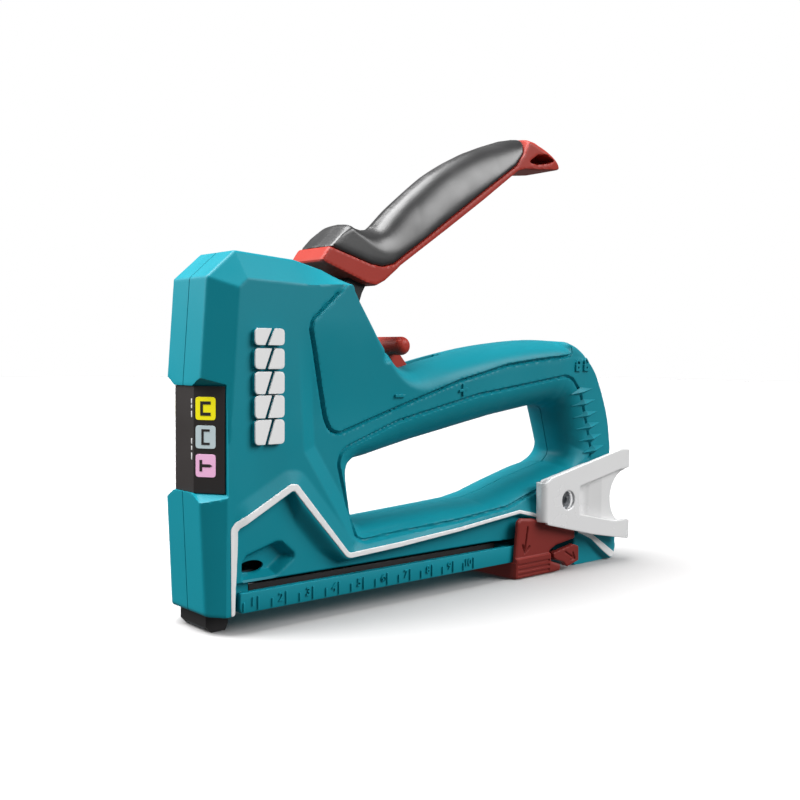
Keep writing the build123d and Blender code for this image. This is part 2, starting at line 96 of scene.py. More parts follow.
# edge of the rounding that runs round the hand opening
OPENING_RIM = [
    (41.6, 47.4), (42.4, 50.8), (45.6, 53.0), (67.0, 60.5), (103.0, 68.6), (150.7, 74.8), (156.5, 73.4),
    (161.4, 68.6), (170.5, 41.6), (158.0, 38.0), (145.0, 34.6), (132.2, 30.8), (118.1, 26.7), (93.7, 24.3),
    (65.9, 22.8), (51.3, 21.8), (48.0, 23.4),
]
# raised panel over the head and the top of the handle; its upper side lies outside the housing
TOP_PANEL = [
    (44.0, 104.8), (30.1, 92.7), (29.5, 90.0), (36.4, 62.5), (38.4, 58.4), (42.0, 57.4), (93.1, 73.4),
    (117.3, 78.9), (132.9, 80.7), (150.0, 82.2), (155.0, 82.8), (153.6, 96.0), (100.0, 110.0),
    (46.0, 112.0),
]
HEAD_CREASE = [(24.1, 92.0), (27.0, 52.4), (45.6, 23.2)]
# upper edge of the light stripe; the panel below it is sunk
LOWER_PANEL = [
    (1.2, -6.0), (1.0, 31.4), (2.4, 33.2), (21.4, 43.2), (23.9, 42.9), (43.9, 19.4), (65.1, 20.4),
    (92.8, 22.3), (123.6, 25.4), (131.1, 23.6), (166.5, 11.5), (181.2, 2.4), (186.0, -6.0),
]
WINDOW = [
    (6.1, 14.9), (6.2, 20.6), (7.9, 22.7), (18.5, 25.8), (20.6, 25.6), (25.6, 21.1), (25.2, 19.5),
    (18.7, 15.0),
]
ARM_SLOT = [(44, 101), (44, 114), (60, 114), (72, 84), (64, 80), (56, 88)]
ADJUSTER_SLOT = [(74.0, 75.2), (96.0, 79.4), (96.5, 90.0), (74.0, 90.0)]
SPIKES = 6
SIDES = ((-1, "left_"), (1, "right_"))


# ---- outlines and reliefs
def rounded(points, radius, steps=5):
    """The outline with each corner replaced by a short curve."""
    made = []
    count = len(points)
    for i in range(count):
        p = Vector(points[i])
        before = Vector(points[i - 1]) - p
        after = Vector(points[(i + 1) % count]) - p
        turn = math.pi - before.angle(after)
        reach = min(radius * math.tan(turn / 2), 0.45 * before.length, 0.45 * after.length)
        start = p + before.normalized() * reach
        end = p + after.normalized() * reach
        for k in range(steps + 1):
            t = k / steps
            made.append(tuple(start * (1 - t) ** 2 + p * 2 * t * (1 - t) + end * t ** 2))
    return made


def curved(points, steps=4):
    """A smooth line through the points, from the first to the last."""
    made = []
    for i in range(len(points) - 1):
        a, b, c, d = (Vector(points[max(0, min(k, len(points) - 1))]) for k in range(i - 1, i + 3))
        for k in range(steps):
            t = k / steps
            square = (2 * a - 5 * b + 4 * c - d) * t ** 2
            cube = (3 * b - a - 3 * c + d) * t ** 3
            made.append(tuple(((2 * b) + (c - a) * t + square + cube) * 0.5))
    return made + [tuple(points[-1])]


def distance(points, x, z, closed=True):
    """Distance from (x, z) to an outline, negative inside it, or plain distance to an open line."""
    nearest = np.full(np.shape(x), 1e12)
    inside = np.zeros(np.shape(x), bool)
    count = len(points)
    for i in range(count if closed else count - 1):
        (ax, az), (bx, bz) = points[i], points[(i + 1) % count]
        ex, ez = bx - ax, bz - az
        length = ex * ex + ez * ez
        if length < 1e-12:
            continue
        t = np.clip(((x - ax) * ex + (z - az) * ez) / length, 0, 1)
        nearest = np.minimum(nearest, (x - ax - t * ex) ** 2 + (z - az - t * ez) ** 2)
        if abs(ez) > 1e-9:
            inside ^= ((az > z) != (bz > z)) & (x < ax + (z - az) * ex / ez)
    gap = np.sqrt(nearest)
    return np.where(inside, -gap, gap) if closed else gap


def fade(low, high, value):
    """0 below low, 1 above high, smooth between."""
    t = np.clip((value - low) / (high - low), 0, 1)
    return t * t * (3 - 2 * t)


def smooth_max(a, b, radius):
    """The larger of two fields, with their edge rounded."""
    h = np.clip(radius - np.abs(a - b), 0, None) / radius
    return np.maximum(a, b) + h * h * radius * 0.25


def groove(gap, half_width, depth):
    """Cross-section of a round-bottomed groove at a distance from its line."""
    return depth * np.clip(1 - (gap / half_width) ** 2, 0, 1)


def radius_from(centre, x, z):
    """Distance from a point."""
    return np.hypot(x - centre[0], z - centre[1])


def ellipse(share):
    """Half width of an elliptical rounding: 0 at its edge, 1 where it meets the flat."""
    return np.sqrt(np.clip(1 - (1 - np.clip(share, 0, 1)) ** 2, 0, 1))


class Raster:
    """A function of x and z, worked out once on a fine grid and read between its points."""

    def __init__(self, function, low, high, step=0.35):
        self.low, self.step = low, step
        xs = np.arange(low[0], high[0] + step, step)
        zs = np.arange(low[1], high[1] + step, step)
        self.values = function(*np.meshgrid(xs, zs, indexing="ij"))

    def __call__(self, x, z):
        u = np.clip((x - self.low[0]) / self.step, 0, self.values.shape[0] - 1.001)
        v = np.clip((z - self.low[1]) / self.step, 0, self.values.shape[1] - 1.001)
        i, j = u.astype(int), v.astype(int)
        fu, fv = u - i, v - j
        near = self.values[i, j] * (1 - fu) + self.values[i + 1, j] * fu
        far = self.values[i, j + 1] * (1 - fu) + self.values[i + 1, j + 1] * fu
        return near * (1 - fv) + far * fv

    def steepness(self):
        """How much longer a step along this height is than along the plane."""
        du, dv = np.gradient(self.values, self.step)
        made = Raster.__new__(Raster)
        made.low, made.step = self.low, self.step
        made.values = np.clip(np.sqrt(1 + du ** 2 + dv ** 2), 1, 5)
        return made


def outline_raster(points, radius, area, step=0.35):
    """Distance to a rounded outline, on a grid."""
    return Raster(lambda x, z: distance(rounded(points, radius), x, z), *area, step)


# ---- mesh from a field
def crossing_points(field, start, end, low_value, high_value):
    """Where the field is zero on each edge from start to end."""
    t_low, t_high = np.zeros(len(start)), np.ones(len(start))
    for _ in range(4):
        t = t_low + (t_high - t_low) * np.clip(low_value / (low_value - high_value), 0.05, 0.95)
        value = field(*(start + (end - start) * t[:, None]).T)
        same = (value < 0) == (low_value < 0)
        t_low, low_value = np.where(same, t, t_low), np.where(same, value, low_value)
        t_high, high_value = np.where(same, t_high, t), np.where(same, high_value, value)
    return start + (end - start) * t[:, None]


def field_normals(field, points, reach=0.12):
    gradient = np.empty_like(points)
    for axis in range(3):
        step = np.zeros(3)
        step[axis] = reach
        gradient[:, axis] = field(*(points + step).T) - field(*(points - step).T)
    return gradient / np.maximum(np.linalg.norm(gradient, axis=1), 1e-9)[:, None]


def surface(field, low, high, pitch):
    """Vertices and quads of the surface where field(x, y, z) is zero, by dual contouring."""
    low = np.array(low, float)
    axes = [low[k] + pitch * np.arange(int((high[k] - low[k]) / pitch) + 2) for k in range(3)]
    values = field(*np.meshgrid(*axes, indexing="ij"))
    inside = values < 0
    size = np.array(values.shape)
    points, normals, cells, flips = [], [], [], []
    for axis in range(3):
        step, u, v = np.roll(np.eye(3, dtype=int), -axis, 0)
        head = tuple(slice(0, size[k] - step[k]) for k in range(3))
        tail = tuple(slice(step[k], None) for k in range(3))
        index = np.argwhere(inside[head] != inside[tail])
        keep = ((index - u - v) >= 0).all(1) & (index <= size - 2).all(1)
        index = index[keep]
        ends = index + step
        start_value = values[tuple(index.T)]
        end_value = values[tuple(ends.T)]
        found = crossing_points(field, low + index * pitch, low + ends * pitch, start_value, end_value)
        points.append(found)
        normals.append(field_normals(field, found))
        ring = [index, index - u, index - u - v, index - v]
        cells.append(np.stack([np.ravel_multi_index(c.T, size) for c in ring], 1))
        flips.append(start_value > 0)
    points, normals = np.concatenate(points), np.concatenate(normals)
    cells, flips = np.concatenate(cells), np.concatenate(flips)
    used, corner = np.unique(cells, return_inverse=True)
    corner = corner.reshape(cells.shape)
    total = len(used)
    owner = corner.T.ravel()
    n, p = np.tile(normals, (4, 1)), np.tile(points, (4, 1))
    reach = (n * p).sum(1)

    def gather(weights):
        return np.bincount(owner, weights, total)

    count = gather(np.ones(len(owner)))
    mass = np.stack([gather(p[:, k]) for k in range(3)], 1) / count[:, None]
    matrix = np.empty((total, 3, 3))
    right = np.empty((total, 3))
    for i in range(3):
        right[:, i] = gather(n[:, i] * reach)
        for j in range(3):
            matrix[:, i, j] = gather(n[:, i] * n[:, j])
    pull = 0.06
    matrix += np.eye(3) * (pull * count)[:, None, None]
    right += mass * (pull * count)[:, None]
    corners = np.linalg.solve(matrix, right[:, :, None])[:, :, 0]
    base = low + np.stack(np.unravel_index(used, size), 1) * pitch
    corners = np.clip(corners, base, base + pitch)
    quads = corner.copy()
    quads[flips] = corner[flips][:, ::-1]
    return corners, quads


def new_object(name, vertices, faces, sharp_deg=32.0):
    mesh = bpy.data.meshes.new(name)
    mesh.from_pydata([tuple(v) for v in np.asarray(vertices) * MM], [], [tuple(f) for f in faces])
    mesh.validate()
    mesh.shade_smooth()
    mesh.set_sharp_from_angle(angle=math.radians(sharp_deg))
    made = bpy.data.objects.new(name, mesh)
    bpy.context.scene.collection.objects.link(made)
    return made


def field_object(name, field, low, high, pitch):
    return new_object(name, *surface(field, low, high, pitch))


# ---- housing relief
BODY = BODY_FRONT + curved(BODY_TOP) + BODY_REAR


def front_limit(x, z):
    """Half width allowed by the bevels at the nose, the top corner and the roof."""
    front = np.interp(z, (5.6, 41.6, 73.6, 104.6), (-4.7, -6.4, -6.1, -3.8))
    crease = np.interp(z, (5.6, 41.0, 104.0), (-0.6, -0.2, 4.2))
    nose = FRONT_FLAT + (HALF_WIDTH - FRONT_FLAT) * (x - front) / (crease - front)
    corner_depth = ((x + 3.8) * 8.1 - (z - 104.6) * 9.2) / 12.26
    corner = FRONT_FLAT + (HALF_WIDTH - FRONT_FLAT) * corner_depth / 7.4
    roof = np.interp(x, (5.4, 26.5, 37.4, 47.2), (112.7, 111.3, 108.7, 105.3))
    bevel_foot = np.interp(x, (4.0, 6.0, 30.0, 43.0), (103.2, 104.2, 103.4, 104.4))
    bevel = FRONT_FLAT + (HALF_WIDTH - FRONT_FLAT) * (roof - z) / np.maximum(roof - bevel_foot, 0.8)
    bevel = np.where(x > 49.0, FAR, bevel)
    return np.minimum(np.minimum(nose, corner), bevel)


def side_width(x, z):
    """Half width of the side walls before any rounding."""
    rear = HALF_WIDTH - (HALF_WIDTH - POST_HALF_WIDTH) * fade(146, 162, x)
    rear -= (POST_HALF_WIDTH - BACK_HALF_WIDTH) * np.clip((x - 164.0) / 20.0, 0, 1.2)
    return HALF_WIDTH + (rear - HALF_WIDTH) * fade(30, 40, z)


def stripe_width(x, z):
    """Light stripe: broad over the nose, thin along the base, broad again at the rear tip."""
    width = 2.2 - 0.5 * fade(24, 44, x) - 0.45 * fade(46, 110, x) + 1.6 * fade(158, 176, x)
    return width - 1.0 * fade(30, 6, z) * fade(6, 3, x)


def housing_height(x, z):
    body = distance(rounded(BODY, 2.5), x, z)
    hole = distance(rounded(OPENING, 4.0), x, z)
    rim = distance(rounded(OPENING_RIM, 5.0), x, z)
    panel = distance(rounded(TOP_PANEL, 3.5), x, z)
    lower = distance(rounded(LOWER_PANEL, 2.0), x, z)
    window = distance(rounded(WINDOW, 1.2), x, z)
    crease = distance(HEAD_CREASE, x, z, closed=False)
    width = side_width(x, z)
    # the side turns in a little behind the head's crease
    crease_x = np.interp(z, [p[1] for p in HEAD_CREASE[::-1]], [p[0] for p in HEAD_CREASE[::-1]])
    behind = np.where(x > crease_x, crease, 0)
    width -= 0.4 * np.clip(behind, 0, 5.5) * fade(94, 60, z) * fade(112, 56, x)
    # raised top panel with a groove round it
    raised = PANEL_RISE * fade(0.2, -0.2, panel)
    height = width + raised - groove(np.abs(panel - 0.1), *RIM_GROOVE) * fade(103.0, 100.5, z)
    # ramp up to the stripe's crest, then the sunk panel
    ramp_on = fade(1.5, 7.0, x)
    climb = np.clip(1 - np.maximum(lower, 0) / STRIPE_RAMP, 0, 1)
    crest = width + (STRIPE_Y - width) * climb * ramp_on
    height = np.where(lower < STRIPE_RAMP, np.maximum(crest, np.where(lower > 0.5, height, 0)), height)
    ramp_width = 1.6 + 3.4 * fade(22, 26, x) * fade(47, 42, x) * fade(14, 22, z)
    floor = RECESS_Y + 1.6 * fade(110, 128, x)
    depth_share = fade(-0.1, -0.1 - ramp_width, lower + stripe_width(x, z)) * fade(1.6, 2.6, x)
    height = height + (floor - height) * depth_share
    # rounding of the hand opening, with the groove at its edge
    share = np.clip(hole, 0, None) / np.maximum(np.clip(hole, 0, None) + np.clip(-rim, 0.0, None), 1e-6)
    height = np.where(rim < 0, height * ellipse(share), height)
    hidden_end = fade(132, 140, x) * fade(42.5, 40.5, z)
    height -= groove(np.abs(rim + 0.2), *RIM_GROOVE) * (1 - hidden_end)
    # rounding of the handle's top, the head's rear slope and the back
    inward = np.clip(-body, 0, None)
    reach = np.interp(x, (46, 56, 62, 84, 146, 158, 168), (0.6, 4.0, 5.0, 10.5, 9.5, 6.0, 2.2))
    reach = np.where(z < 40, 1.2, reach)
    reach = np.where(x < 46, 0.6, reach)
    top = (z > 66) | ((x > 160) & (z > 30))
    cap = np.minimum(reach, inward + np.clip(-panel, 0.8, None))
    height = np.where(top, height * np.where(x > 46, ellipse(inward / cap), 1), height)
    height = np.minimum(height, front_limit(x, z))
    # sunk window beside the nose, and a small dimple on the head's rear slope
    height -= WINDOW_DEPTH * fade(0.2, -2.3, window)
    dimple = np.sqrt(((x - 60.6) / 2.2) ** 2 + ((z - 82.0) / 3.0) ** 2)
    return height - 1.2 * fade(1.0, 0.2, dimple)


def housing_outline(x, z):
    body = distance(rounded(BODY, 1.2), x, z)
    body = np.maximum(body, -distance(rounded(OPENING, 4.0), x, z))
    return np.maximum(body, NOTCH_R - radius_from(NOTCH, x, z))


def hollow_height(x, z):
    """Half width of the hollow inside the shells, with posts for the screws and the lever pin."""
    height = np.full(np.shape(x), HALF_WIDTH - WALL)
    for place in SCREW_PLACES:
        height = np.where(radius_from(place, x, z) < SCREW_POST_R, -1.0, height)
    for place, radius, limit in ((HOOK_SCREW, SCREW_POST_R, 6.0), (LEVER_PIVOT, 4.6, 9.5)):
        height = np.where(radius_from(place, x, z) < radius, np.minimum(height, limit), height)
    return height


RASTER_BOX = ((-10.0, -2.0), (190.0, 116.0))
HOUSING_HEIGHT = Raster(housing_height, *RASTER_BOX, 0.28)
HOUSING_STEEPNESS = HOUSING_HEIGHT.steepness()
HOUSING_OUTLINE = Raster(housing_outline, *RASTER_BOX)
HOLLOW_HEIGHT = Raster(hollow_height, *RASTER_BOX)
ARM_SLOT_GAP = Raster(lambda x, z: distance(ARM_SLOT, x, z), *RASTER_BOX)
ADJUSTER_SLOT_GAP = outline_raster(ADJUSTER_SLOT, 1.0, RASTER_BOX)


def box_field(x, a, z, x_range, a_max, z_range):
    gap = np.maximum(x_range[0] - x, x - x_range[1])
    gap = np.maximum(gap, a - a_max)
    return np.maximum(gap, np.maximum(z_range[0] - z, z - z_range[1]))


def neck_plan(x, a):
    """Distance outward from the neck's flat front and slanting sides."""
    slant = (a - NECK_FRONT[1]) * NECK_SLANT[1] + (x - NECK_FRONT[0]) * NECK_SLANT[0]
    return np.maximum(NECK_FRONT[0] - x, slant)


def neck_cut(x, a, z):
    """Space round the neck that the label wraps, with bevelled ends."""
    plan = neck_plan(x, a)
    lift = 0.7 * np.clip(np.minimum(plan, 0.8 * (a - 5.4)), 0, None)
    ends = np.maximum(NECK_Z[0] - lift - z, z - NECK_Z[1] - lift)
    return np.maximum(np.maximum(ends, x - 0.4), -plan)


def shell_field(side):
    def field(x, y, z):
        a = side * y
        outline = HOUSING_OUTLINE(x, z)
        relief = (a - HOUSING_HEIGHT(x, z)) / HOUSING_STEEPNESS(x, z)
        solid = smooth_max(outline, relief, 0.6)
        hollow = np.maximum(np.maximum(outline, relief) + WALL, a - HOLLOW_HEIGHT(x, z))
        behind_neck = np.where(np.abs(z - sum(NECK_Z) / 2) < 21.0, neck_plan(x, a) + NECK_SKIN, -FAR)
        hollow = np.maximum(hollow, behind_neck)
        solid = np.maximum(solid, -hollow)
        cuts = [
            box_field(x, a, z, *BLADE_SHAFT),
            box_field(x, a, z, *MAGAZINE_BAY),
            np.maximum(ARM_SLOT_GAP(x, z), a - 6.6),
            np.maximum(ADJUSTER_SLOT_GAP(x, z), a - 2.2),
            neck_cut(x, a, z),
            np.maximum(np.hypot((x - 12.0) / 2.4, z - 18.2) - 1.8, 6.0 - a),
        ]
        for place in SCREW_PLACES:
            off = radius_from(place, x, z)
            cuts.append(np.maximum(off - SCREW_R, a - 11.5))
            if side > 0:
                cuts.append(np.maximum(off - SCREW_HEAD_R, 12.0 - a))
        for cut in cuts:
            solid = np.maximum(solid, -cut)
        ear = np.maximum(box_field(x, a, z, (4.4, 9.6), 10.5, (MAG_PIVOT[1], 17.0)), 8.5 - a)
        boss = np.maximum(radius_from(MAG_PIVOT, x, z) - 2.6, np.abs(a - 9.5) - 1.0)
        solid = np.minimum(solid, np.minimum(ear, boss))
        return np.maximum(solid, SEAM_GAP - a)
    return field


# ---- materials
def srgb(text):
    channels = [int(text[i:i + 2], 16) / 255 for i in (0, 2, 4)]
    return tuple(c / 12.92 if c <= 0.04045 else ((c + 0.055) / 1.055) ** 2.4 for c in channels) + (1.0,)


def moulded(name, colour, worn, roughness, grain=0.12, grain_scale=2600.0, metallic=0.0, specular=0.5,
            painted_glow=0.0):
    """Moulded or finished surface: soft colour drift, handling wear, fine grain in bump and roughness, and
    an optional painted glow in its own colour.
    """
    material = bpy.data.materials.new(name)
    material.use_nodes = True
    nodes, links = material.node_tree.nodes, material.node_tree.links
    shader = nodes["Principled BSDF"]
    shader.inputs["Metallic"].default_value = metallic
    shader.inputs["Specular IOR Level"].default_value = specular
    # emission in the surface's own colour is painted light: it brightens the surface beyond what the lamps
    # give
    shader.inputs["Emission Color"].default_value = srgb(colour)
    shader.inputs["Emission Strength"].default_value = painted_glow
    place = nodes.new("ShaderNodeTexCoord")

    def noise(scale, detail, roughness_value=0.55):
        node = nodes.new("ShaderNodeTexNoise")
        node.inputs["Scale"].default_value = scale
        node.inputs["Detail"].default_value = detail
        node.inputs["Roughness"].default_value = roughness_value
        links.new(place.outputs["Object"], node.inputs["Vector"])
        return node.outputs["Fac"]

    def spread(source, low, high, to_low, to_high):
        node = nodes.new("ShaderNodeMapRange")
        node.inputs["From Min"].default_value = low
        node.inputs["From Max"].default_value = high
        node.inputs["To Min"].default_value = to_low
        node.inputs["To Max"].default_value = to_high
        links.new(source, node.inputs["Value"])
        return node.outputs["Result"]

    drift = spread(noise(22.0, 3.0), 0.35, 0.65, 0.0, 0.55)
    scuff = spread(noise(190.0, 6.0, 0.7), 0.60, 0.78, 0.0, 0.6)
    wear = nodes.new("ShaderNodeMath")
    wear.operation = "MAXIMUM"
    links.new(drift, wear.inputs[0])
    links.new(scuff, wear.inputs[1])
    tint = nodes.new("ShaderNodeMix")
    tint.data_type = "RGBA"
    tint.inputs["A"].default_value = srgb(colour)
    tint.inputs["B"].default_value = srgb(worn)
    links.new(wear.outputs["Value"], tint.inputs["Factor"])
    links.new(tint.outputs["Result"], shader.inputs["Base Color"])
    patchy = spread(noise(70.0, 5.0), 0.3, 0.7, roughness - 0.05, roughness + 0.07)
    links.new(patchy, shader.inputs["Roughness"])
    bump = nodes.new("ShaderNodeBump")
    bump.inputs["Strength"].default_value = grain
    bump.inputs["Distance"].default_value = 0.00012
    links.new(noise(grain_scale, 2.0), bump.inputs["Height"])
    links.new(bump.outputs["Normal"], shader.inputs["Normal"])
    return material


MATERIALS = {
    "teal": moulded("teal_plastic", "098b9b", "078494", 0.44, specular=0.22),
    "red": moulded("red_plastic", "b03629", "a43026", 0.42, specular=0.25),
    # a darker copy of the red plastic for the release grip and latch: the darkening is painted shade
    "painted_shade_red": moulded("red_plastic_painted_shade", "8a302a", "7e2b26", 0.42, specular=0.25),
    "grip": moulded("soft_rubber", "252526", "202021", 0.36, grain=0.10, grain_scale=3400.0, specular=0.8),
    "black": moulded("black_plastic", "1b1a1b", "262526", 0.45),
    "white": moulded("white_trim", "f8f8f8", "f0f0f1", 0.40, grain=0.08),
    "label": moulded("label_black", "2b2625", "302b2b", 0.50, grain=0.05, specular=0.4),
    # the three badges glow a little: painted light that brightens them as if they were more strongly lit
    "yellow": moulded("badge_yellow", "f5e900", "ecdf00", 0.45, grain=0.05, painted_glow=0.3),
    "grey": moulded("badge_grey", "b8c8cc", "b0c0c5", 0.45, grain=0.05, painted_glow=0.3),
    "pink": moulded("badge_pink", "eeb5da", "e6abd2", 0.45, grain=0.05, painted_glow=0.3),
    "print": moulded("printed_white", "d8d8d8", "c8c8c8", 0.5, grain=0.05),
    "sheet": moulded("bright_sheet", "fcfcfc", "f6f6f7", 0.24, grain=0.04, metallic=0.1),
    "black_steel": moulded("blackened_steel", "0c0c0d", "131315", 0.40, grain=0.10, metallic=0.2),
    "steel": moulded("tool_steel", "8d9196", "7b7f84", 0.32, grain=0.10, metallic=1.0),
    "spring": moulded("spring_steel", "9a9da1", "80848a", 0.28, grain=0.08, metallic=1.0),
    "staple": moulded("staple_wire", "c3c6c9", "b0b3b7", 0.24, grain=0.06, metallic=1.0),
    "screw": moulded("screw_steel", "b9bcc0", "a2a6ab", 0.26, grain=0.06, metallic=1.0),
    "rubber": moulded("bumper_rubber", "202022", "2b2b2d", 0.75, grain=0.25),
}


def dress(piece, material, body, slot, *replaced):
    """Gives a piece its material and body, and hides the CAD nodes it stands for; the finish slot is not
    used.
    """
    piece.data.materials.clear()
    piece.data.materials.append(MATERIALS[material])
    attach(piece, body)
    if replaced:
        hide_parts(*replaced)
    return piece


# ---- plates and simple solids
def prism(name, low_ring, high_ring, bevel):
    """A solid between two matching rings of points, with softened edges."""
    mesh = bmesh.new()
    rings = (low_ring, high_ring)
    low, high = ([mesh.verts.new([c * MM for c in point]) for point in ring] for ring in rings)
    mesh.faces.new(low)
    mesh.faces.new(high[::-1])
    for i in range(len(low)):
        j = (i + 1) % len(low)
        mesh.faces.new((low[j], low[i], high[i], high[j]))
    bmesh.ops.recalc_face_normals(mesh, faces=mesh.faces)
    return finish_mesh(name, mesh, bevel)


def plate(name, points, y_low, y_high, bevel=0.3):
    """A side outline (x, z) given thickness along Y."""
    return prism(name, [(x, y_low, z) for x, z in points], [(x, y_high, z) for x, z in points], bevel)


def plan_solid(name, points, z_low, z_high, bevel):
    """A plan outline (x, y) given height along Z."""
    return prism(name, [(x, y, z_low) for x, y in points], [(x, y, z_high) for x, y in points], bevel)


def finish_mesh(name, mesh, bevel, segments=3):
    """The mesh as an object in the scene, with a bevel on its edges unless it is 0."""
    data = bpy.data.meshes.new(name)
    mesh.to_mesh(data)
    mesh.free()
    data.shade_smooth()
    data.set_sharp_from_angle(angle=math.radians(SHARP_DEG))
    made = bpy.data.objects.new(name, data)
    bpy.context.scene.collection.objects.link(made)
    if bevel:
        modifier = made.modifiers.new("soft_edges", "BEVEL")
        modifier.width = bevel * MM
        modifier.segments = segments
        modifier.limit_method = "ANGLE"
        modifier.angle_limit = math.radians(SHARP_DEG)
        modifier.harden_normals = False
    return made


def solid(name, x, y, z, bevel=0.3):
    """A block with softened edges from its low and high x, y and z."""
    points = [(x[0], z[0]), (x[1], z[0]), (x[1], z[1]), (x[0], z[1])]
    return plate(name, points, y[0], y[1], bevel)


def joined(name, pieces):
    """Several pieces as one object, with their modifiers applied."""
    graph = bpy.context.evaluated_depsgraph_get()
    mesh = bmesh.new()
    for piece in pieces:
        part = bpy.data.meshes.new_from_object(piece.evaluated_get(graph))
        part.transform(piece.matrix_world)
        mesh.from_mesh(part)
        bpy.data.meshes.remove(part)
    for piece in pieces:
        bpy.data.objects.remove(piece)
    return finish_mesh(name, mesh, 0)


# ---- housing pieces
def make_shells():
    for side, hand in SIDES:
        name = hand + "housing"
        # a grid plane lies just past the seam, so the seam's edge is even
        reach = SHELL_PITCH * math.ceil(17.4 / SHELL_PITCH)
        y_low, y_high = sorted((side * (reach - 0.3), side * -0.3))
        corners = (-8.0, y_low, -1.2), (187.2, y_high, 114.2)
        shell = field_object(name, shell_field(side), *corners, SHELL_PITCH)
        dress(shell, "teal", "housing", "housing_plastic", name + "_shell")


def surface_relief(name, shape, low, high, side, sunk, rise, pitch, edge=0.25):
    """A thin solid on the housing's side, cut to a flat shape and following the surface under it."""
    outline = Raster(shape, low, high, 0.2)

    def field(x, y, z):
        a = side * y
        ground = HOUSING_HEIGHT(x, z)
        skin = np.maximum(a - ground - rise, ground - sunk - a)
        return smooth_max(outline(x, z), skin, edge)

    y_low, y_high = sorted((side * 8.0, side * 17.4))
    return field_object(name, field, (low[0], y_low, low[1]), (high[0], y_high, high[1]), pitch)


def make_stripes():
    def shape(x, z):
        lower = distance(rounded(LOWER_PANEL, 2.0), x, z)
        band = np.maximum(lower, -(lower + stripe_width(x, z)))
        ends = np.maximum(HOUSING_OUTLINE(x, z) + 0.25, 5.9 - z - 8.0 * fade(20, 30, x))
        return np.maximum(band, ends)

    for side, hand in SIDES:
        name = hand + "stripe"
        area = ((0.0, 1.0), (184.0, 45.0))
        band = surface_relief(name + "_trim", shape, *area, side, 0.5, 0.22, SMALL_PITCH)
        dress(band, "white", "housing", "white_trim", name)


def emblem_shape(x, z):
    """Five rounded blocks in a column, each split by a slanting cut."""
    bands = ((55.6, 62.9), (63.4, 70.1), (70.5, 77.1), (77.9, 84.0), (84.9, 89.9))
    left, right, lean = 8.3, 18.6, 2.4
    made = np.full(np.shape(x), FAR)
    for z_low, z_high in bands:
        block = [(left, z_low), (right, z_low), (right, z_high), (left, z_high)]
        middle = (left + right) / 2 + lean * ((z - z_low) / (z_high - z_low) - 0.5)
        cut = 0.5 - np.abs(x - middle)
        made = np.minimum(made, np.maximum(distance(rounded(block, 1.4), x, z), cut))
    return made


def make_emblems():
    area = ((7.4, 54.6), (19.6, 91.0))
    for side, hand in SIDES:
        name = hand + "emblem"
        base = surface_relief(name + "_base", emblem_shape, *area, side, 0.4, 1.25, EMBLEM_PITCH)
        dress(base, "teal", "housing", "housing_plastic", name)
        cap = surface_relief(name + "_face", emblem_shape, *area, side, -1.25, 1.7, EMBLEM_PITCH)
        dress(cap, "white", "housing", "white_trim", name)


def bar_shape(x, z, low, high):
    return distance([low, (high[0], low[1]), high, (low[0], high[1])], x, z)


def minus_shape(x, z):
    return bar_shape(x, z, (64.2, 68.3), (68.4, 69.2))


def plus_shape(x, z):
    across = distance([(93.0, 69.4), (97.0, 70.4), (96.9, 71.2), (92.9, 70.2)], x, z)
    upright = bar_shape(x, z, (94.5, 68.2), (95.4, 72.4))
    return np.minimum(across, upright)


def padlock_shapes(x, z):
    """A closed and an open padlock, as on the lever's lock mark."""
    made = np.full(np.shape(x), FAR)
    for left, lift in ((157.4, 0.0), (162.9, 0.7)):
        case = bar_shape(x, z, (left, 76.4), (left + 3.5, 79.2))
        keyhole = np.hypot(x - left - 1.75, z - 77.8) - 0.45
        ring = np.abs(np.hypot(x - left - 1.75, z - 79.4 - lift) - 1.25) - 0.35
        shackle = np.maximum(ring, 79.0 - z)
        made = np.minimum(made, np.minimum(np.maximum(case, -keyhole), shackle))
    return made


def make_side_marks():
    marks = (
        ("minus_mark", minus_shape, (63.4, 67.4), (69.2, 70.2)),
        ("plus_mark", plus_shape, (92.2, 67.4), (97.8, 73.2)),
        ("padlock_marks", padlock_shapes, (156.6, 75.6), (167.4, 82.6)),
    )
    for name, shape, low, high in marks:
        for side, hand in SIDES:
            mark = surface_relief(hand + name, shape, low, high, side, 0.3, 0.7, MARK_PITCH, 0.12)
            dress(mark, "teal", "housing", "housing_plastic")


def make_spikes():
    """Six pointed ribs across each edge of the rear post."""
    for side, hand in SIDES:
        mesh = bmesh.new()
        for i in range(SPIKES):
            share = i / (SPIKES - 1)
            ridge_x, ridge_z = 161.8 + 8.4 * share, 68.6 - 23.4 * share
            outline = {
                "front": (ridge_x - 6.6, ridge_z - 1.4, 0.5),
                "back": (ridge_x + 8.8, ridge_z + 1.0, 0.0),
                "top": (ridge_x - 0.4, ridge_z + 1.5, 0.1),
                "bottom": (ridge_x + 0.4, ridge_z - 2.0, 0.1),
                "apex": (ridge_x - 0.2, ridge_z - 0.4, 2.3),
                "root": (ridge_x + 0.6, ridge_z, -2.5),
            }
            v = {}
            for key, (x, z, lift) in outline.items():
                y = side * (float(HOUSING_HEIGHT(x, z)) + lift)
                v[key] = mesh.verts.new((x * MM, y * MM, z * MM))
            ring = ("top", "apex", "bottom", "root", "top")
            for end in ("front", "back"):
                for first, second in zip(ring, ring[1:]):
                    mesh.faces.new((v[end], v[first], v[second]))
        bmesh.ops.recalc_face_normals(mesh, faces=mesh.faces)
        dress(finish_mesh(hand + "grip_spikes", mesh, 0.1, 2), "teal", "housing", "housing_plastic")


